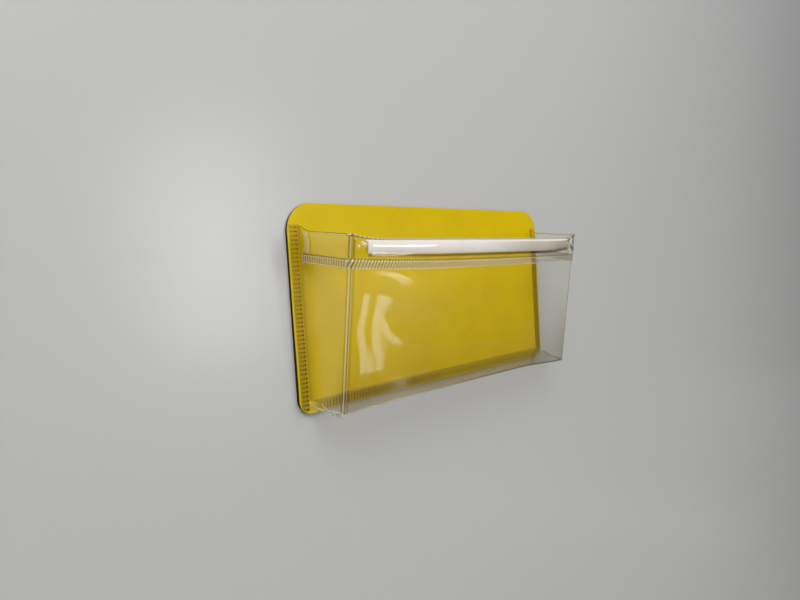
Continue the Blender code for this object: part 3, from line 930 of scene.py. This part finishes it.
def hem_weld():
    """The ribbed hem: a roped line above, upright ribs, and a thinner line below."""
    sheet = Sheet()
    steps = 24
    rows = [[] for _ in range(steps + 1)]
    for run, column, out in band_columns(0.2, HEM_END):
        top = hem_top(column)
        front = corner_share(column) * smooth(95, 30, column.x)
        lean = HEM_RIB_LEAN * corner_share(column)
        fade = smooth(0, 3, run - HEM_END) * smooth(0, 3, RUNS[-1] - HEM_END - run)
        for row in range(steps + 1):
            up = HEM_WIDTH * row / steps
            spot = on_wall(column, top - HEM_WIDTH + up)
            ribs = wave(run - up * lean, HEM_RIB_PITCH)
            body = smooth(0.5, 1.0, up) * smooth(4.7, 4.1, up)
            line = bump(5.15, 0.42, up)
            under = bump(4.45, 0.36, up)
            foot_line = bump(0.38, 0.34, up)
            height = (HEM_BASE + HEM_RIB_HEIGHT * ribs * body + 0.3 * line + 0.3 * foot_line) * fade
            # pale paints highlights on the rib crests and on the lines; dark paints shade between the ribs
            # and along the roped line, and on the right it evens out into a plain darker tint
            right = smooth(20, 75, column.x)
            painted_rib_glint = 0.45 * ribs ** 3 * lerp(1, 0.2, right)
            pale = (painted_rib_glint * body + under * lerp(0.35, 0.1 + 0.8 * ribs ** 3, front)) * fade
            pale += foot_line * lerp(0.35, 0.95 * ribs ** 3, front) * fade
            pale += 0.5 * line * ribs ** 3 * column.share * (1 - front) * fade
            tone = lerp(0.1 + 0.5 * (1 - ribs) ** 3, 0.28, right)
            dark = (tone * body + line * lerp(0.6, (1 - ribs) ** 2, front)) * fade
            dark += 0.4 * foot_line * (1 - ribs) ** 3 * front * fade
            foot = spot + out * HAIR
            rows[row].append(sheet.point(foot + out * height, foot, min(pale, 1), min(dark, 1)))
    sheet.fill(rows)
    made = sheet.piece("hem_weld", WELDED_FILM, 60)
    return dress(made, "pocket", "welded_film", "front_hem_weld", "left_hem_weld", "right_hem_weld")


def sleeve_film():
    """The sleeve's film between hem and rim, bowed over the label along the front."""
    sheet = Sheet()
    steps = 26
    rows = [[] for _ in range(steps + 1)]
    for run, column, out in band_columns(0.4, SLEEVE_END):
        top = column.head.z - RIM_WIDTH
        # Painted shade in two lines along each corner fold, stronger on the left
        fold, left = corner_place(run)
        dark = (0.7 if left else 0.3) * (bump(0.2, 0.07, fold) + bump(0.8, 0.07, fold))
        foot = hem_top(column)
        front = sleeve_front(column)
        for row in range(steps + 1):
            share = 0.5 - 0.5 * math.cos(math.pi * row / steps)
            spot = on_wall(column, lerp(foot + HAIR, top - HAIR, share))
            outer = spot + out * sleeve_rise(share, front)
            outer += out * crumple(outer) * math.sin(math.pi * share)
            # A painted sheen and curved highlight where the sleeve leaves the facing on the left, with
            # painted shade just past them
            turn = run - ROOT_GLINT_AT + 2.2 * (2 * share - 1) ** 2
            pale = 0.16 * smooth(-5, -3, turn) * smooth(1, 0, turn) + 0.4 * bump(0, 0.55, turn)
            pale += painted_glints(spot.x, spot.z) * column.share
            shadow = dark + 0.3 * bump(1.2, 0.5, turn) * smooth(0.1, 0.4, share)
            shadow += front * label_shade(spot.x, spot.z)
            # Painted highlights and shade over the crushed corner
            crease = noise.noise(spot / 3.2) * smooth(90, 101, spot.x) * smooth(0.98, 1, column.share)
            pale += 0.45 * smooth(0.12, 0.4, crease)
            shadow += 0.5 * smooth(0.08, 0.4, -crease)
            rows[row].append(sheet.point(outer, outer - out * FILM * 0.8, min(pale, 1), min(shadow, 1)))
    sheet.fill(rows)
    made = sheet.piece("sleeve_film", SLEEVE_FILM)
    nodes = ["front_sleeve_foot", "front_sleeve", "front_sleeve_top", "left_sleeve", "right_sleeve"]
    return dress(made, "pocket", "clear_film", *nodes)


def rim_weld():
    """The dotted weld along the rim, over the wall's upper edge."""
    sheet = Sheet()
    steps = 8
    rows = [[] for _ in range(steps + 1)]
    for run, column, out in band_columns(0.2, SLEEVE_END):
        front = corner_share(column)
        for row in range(steps + 1):
            share = row / steps
            spot = on_wall(column, column.head.z - RIM_WIDTH * (1 - share))
            dashes = smooth(0.3, 0.7, wave(run, RIM_DASH_PITCH))
            round_off = math.sqrt(max(1 - (2 * share - 1) ** 2, 0))
            height = 0.3 + (lerp(0.3, 0.5, front) + 0.14 * dashes) * round_off
            # pale paints highlights on the weld's dashes; dark draws a line along the weld and fills the gaps
            # between the dashes on the front
            dot = bump(lerp(0.42, 0.7, front), 0.24, share)
            pale = lerp(0.25 + 0.4 * column.share, 0.8, front) * dot * dashes
            dark = 0.7 * bump(lerp(0.88, 0.22, front), 0.19, share) + 0.5 * front * dot * (1 - dashes)
            foot = spot + out * HAIR
            outer = foot + out * height
            outer += out * crumple(outer)
            rows[row].append(sheet.point(outer, foot, min(pale, 1), min(dark, 1)))
    sheet.fill(rows)
    made = sheet.piece("rim_weld", WELDED_FILM, 60)
    return dress(made, "pocket", "clear_film", "front_rim_weld", "left_rim_weld", "right_rim_weld")


# Seams under the bottom corners

SEAM_UPPER = ((2.6, 8.9), (6.3, 7.8), (8.4, 6.3), (11.7, 3.3), (14.5, 2.5), (17.8, 2.2), (30, 2.2))
SEAM_LOWER = ((0, 3.8), (13.3, 1.9), (17.5, 0.3), (30, 0.3))
EAR_AT = (23.4, 0.8)
EAR_HALF = (4.2, 1.65)
SEAM_ROWS = 20


def follow(line, value):
    """The height of a jointed line at a depth."""
    for (low, start), (high, end) in zip(line, line[1:]):
        if value <= high:
            return lerp(start, end, (value - low) / (high - low))
    return line[-1][1]


def corner_seam(side, name, node):
    """The fin that closes the blank under a gusset, with its rounded ear at the front."""
    mirror = 1 if side == "left" else -1
    stations = 90
    sheet = Sheet()
    rows = [[] for _ in range(SEAM_ROWS + 1)]
    order = range(stations + 1)
    for step in order if mirror > 0 else reversed(order):
        depth = lerp(2.6, EAR_AT[0] + EAR_HALF[0], step / stations)
        edge = mirror * -half_at(depth)
        ear = math.sqrt(max(1 - ((depth - EAR_AT[0]) / EAR_HALF[0]) ** 2, 0))
        upper = follow(SEAM_UPPER, depth)
        lower = follow(SEAM_LOWER, depth)
        high = floor_z(depth, edge) - EDGE_Z + 0.6
        low = min(lower - 0.35, high - 0.2) if depth < EAR_AT[0] else high - 0.2
        low = min(low, EAR_AT[1] - EAR_HALF[1] * ear - 0.15)
        for row in range(SEAM_ROWS + 1):
            share = row / SEAM_ROWS
            up = lerp(low, high, share)
            ring = math.hypot((depth - EAR_AT[0]) / EAR_HALF[0], (up - EAR_AT[1]) / EAR_HALF[1])
            outline = bump(0.92, 0.12, ring)
            before = smooth(18, 16.5, depth)
            lines = (bump(upper, 0.3, up) + bump(lower, 0.3, up)) * before
            swell = 0.2 + 0.35 * min(lines + outline, 1)
            inner = Vector((edge - mirror * HAIR * 2, FACE_Y - depth, EDGE_Z + up))
            outer = Vector((inner.x - mirror * swell, inner.y, inner.z))
            # pale paints highlights along the seam's two lines and round the ear; dark paints shade just
            # under the upper line, inside the ear and round its lower outside
            dark = 0.35 * bump(upper - 0.7, 0.35, up) * before + 0.25 * smooth(0.85, 0.6, ring)
            dark += 0.7 * bump(1.18, 0.12, ring) * smooth(1.8, 0.4, up)
            rows[row].append(sheet.point(outer, inner, min(0.65 * lines + 0.55 * outline, 1), dark))
    sheet.fill(rows)
    return dress(sheet.piece(name, WELDED_FILM, 60), "pocket", "welded_film", node)


# The label

def label_card():
    """The card strip in the sleeve: bowed, its lower edge lifting a little to the right."""
    low, high = edges("label_strip")
    middle = (low.z + high.z) / 2
    out = Vector((0, -math.cos(LEAN), -math.sin(LEAN)))
    centre = Vector((0, FACE_Y - depth_at(middle), middle))
    sheet = Sheet()
    rows = []
    columns = 90
    for row in range(11):
        share = row / 10
        numbers = []
        for column in range(columns + 1):
            x = lerp(low.x, high.x, column / columns)
            x -= 0.9 * (2 * share - 1) * smooth(-90, -98, x) + 0.6 * smooth(-80, -98, x)
            bow = LABEL_BOW * (1 - (2 * share - 1) ** 2)
            spot = centre + Vector((x, 0, 0)) + UP_FRONT * label_up(x, share) + out * (LABEL_GAP + bow)
            numbers.append(sheet.point(spot + out * LABEL_THICK, spot))
        rows.append(numbers)
    sheet.fill(rows)
    return dress(sheet.piece("label_card", CARD), "label", "label_paper", "label_strip")


# Stage

def stage_look(name, colour, roughness, one_sided):
    """A plain matt board. One that is seen from behind lets the camera through."""
    look = new_look(name)
    board = look.skin((*colour, 1), roughness)
    if not one_sided:
        return look.done(board)
    back = look.node("NewGeometry", {}, {}, "Backfacing")
    return look.done(look.mix(back, board, look.node("BsdfTransparent", {}, {})))


def board(name, corners, look):
    """A flat stage piece through four corners in millimetres."""
    made = piece(name, [Vector(corner) for corner in corners], [(0, 1, 2, 3)], look)
    return made


def stage():
    """The wall and the floor, which it returns."""
    wall_y = -0.05
    left, right, low, high = -2500, 3500, -700, 1500
    wall = [(left, wall_y, low), (right, wall_y, low), (right, wall_y, high), (left, wall_y, high)]
    boards = [board("wall", wall, stage_look("wall_paint", (0.498, 0.493, 0.483), 0.3, True))]
    front = -1300
    floor = [(left, front, low), (right, front, low), (right, wall_y, low), (left, wall_y, low)]
    boards.append(board("floor", floor, stage_look("floor_paint", (0.40, 0.40, 0.39), 0.6, False)))
    return boards


def lamp(name, at, size, power, aim=(0, -20, 0)):
    """A soft box: its place in metres, its width and height, and its power."""
    data = bpy.data.lights.new(name, "AREA")
    data.shape = "RECTANGLE"
    data.size, data.size_y = size
    data.energy = power
    made = bpy.data.objects.new(name, data)
    made.location = at
    target = Vector(aim) * MM
    made.rotation_mode = "QUATERNION"
    made.rotation_quaternion = (target - Vector(at)).to_track_quat("-Z", "Y")
    bpy.context.collection.objects.link(made)
    return made


def keep_off(made, boards):
    """Let a lamp shine on everything but the given pieces."""
    spared = bpy.data.collections.new(made.name + "_spares")
    for spare in boards:
        spared.objects.link(spare)
    for entry in spared.collection_objects:
        entry.light_linking.link_state = "EXCLUDE"
    made.light_linking.receiver_collection = spared


def lamps(boards):
    """The room's lamps. The one that the front mirrors leaves no glow on the wall."""
    lamp("ceiling_box", (-0.55, -0.85, 0.85), (1.0, 0.7), 11.4)
    lamp("window_box", (0.46, -1.36, 0.1), (0.22, 0.6), 4.8)
    lamp("label_catch", (0.76, -0.93, -0.04), (0.16, 0.1), 0.5)
    keep_off(lamp("film_catch", (0.687, -0.857, -0.43), (0.15, 0.26), 1.0), boards)
    lamp("low_strip", (0.98, -0.66, -0.66), (0.9, 0.06), 0.08)
    lamp("back_box", (0.4, 1.3, 0.7), (1.0, 1.0), 22)


def world():
    """Soft room light: brighter above than below."""
    look = Look(bpy.data.worlds.new("room"))
    towards = look.node("TexCoord", {}, {}, "Generated")
    rise = look.node("SeparateXYZ", {}, {0: towards}, "Z")
    run = look.node("SeparateXYZ", {}, {0: towards}, "X")
    light = look.step(rise, 0.0, 0.85) * 0.62 + look.step(0 - run, 0.0, 0.8) * 0.3 + 0.07
    shader = look.node("Background", {}, {"Color": (0.96, 0.98, 1.0, 1), "Strength": light})
    bpy.context.scene.world = look.done(shader)


# Camera, at the photograph's viewing angle

CAMERA_AT = (-0.2943, -0.2834, 0.0179)
CAMERA_AZIMUTH = 42.34
CAMERA_ELEVATION = -2.89
CAMERA_ROLL = 3.47
CAMERA_LENS = 26.1


def camera():
    """The camera, by its direction of view, its roll and its lens."""
    turn = math.radians(CAMERA_AZIMUTH)
    tilt = math.radians(CAMERA_ELEVATION)
    ahead = Vector((math.sin(turn) * math.cos(tilt), math.cos(turn) * math.cos(tilt), math.sin(tilt)))
    data = bpy.data.cameras.new("camera")
    data.lens = CAMERA_LENS
    data.sensor_width = 36
    data.clip_start = 0.01
    made = bpy.data.objects.new("camera", data)
    made.location = CAMERA_AT
    made.rotation_mode = "QUATERNION"
    roll = Quaternion(ahead, math.radians(CAMERA_ROLL))
    made.rotation_quaternion = roll @ ahead.to_track_quat("-Z", "Y")
    bpy.context.collection.objects.link(made)
    bpy.context.scene.camera = made


def build():
    """Everything, in one go."""
    camera()
    sheet_pieces()
    weld_band("left_weld_band", "left_weld", SIDE_RIB_PITCH, True)
    weld_band("right_weld_band", "right_weld", SIDE_RIB_PITCH, True)
    weld_band("bottom_weld_band", "bottom_weld", BOTTOM_RIB_PITCH, False)
    pocket_film()
    hem_weld()
    sleeve_film()
    rim_weld()
    corner_seam("left", "left_corner_seam", "left_bottom_seam")
    corner_seam("right", "right_corner_seam", "right_bottom_seam")
    label_card()
    lamps(stage())
    world()
    bpy.context.scene.view_settings.view_transform = "Standard"
    bpy.context.scene.cycles.transparent_max_bounces = 32


build()
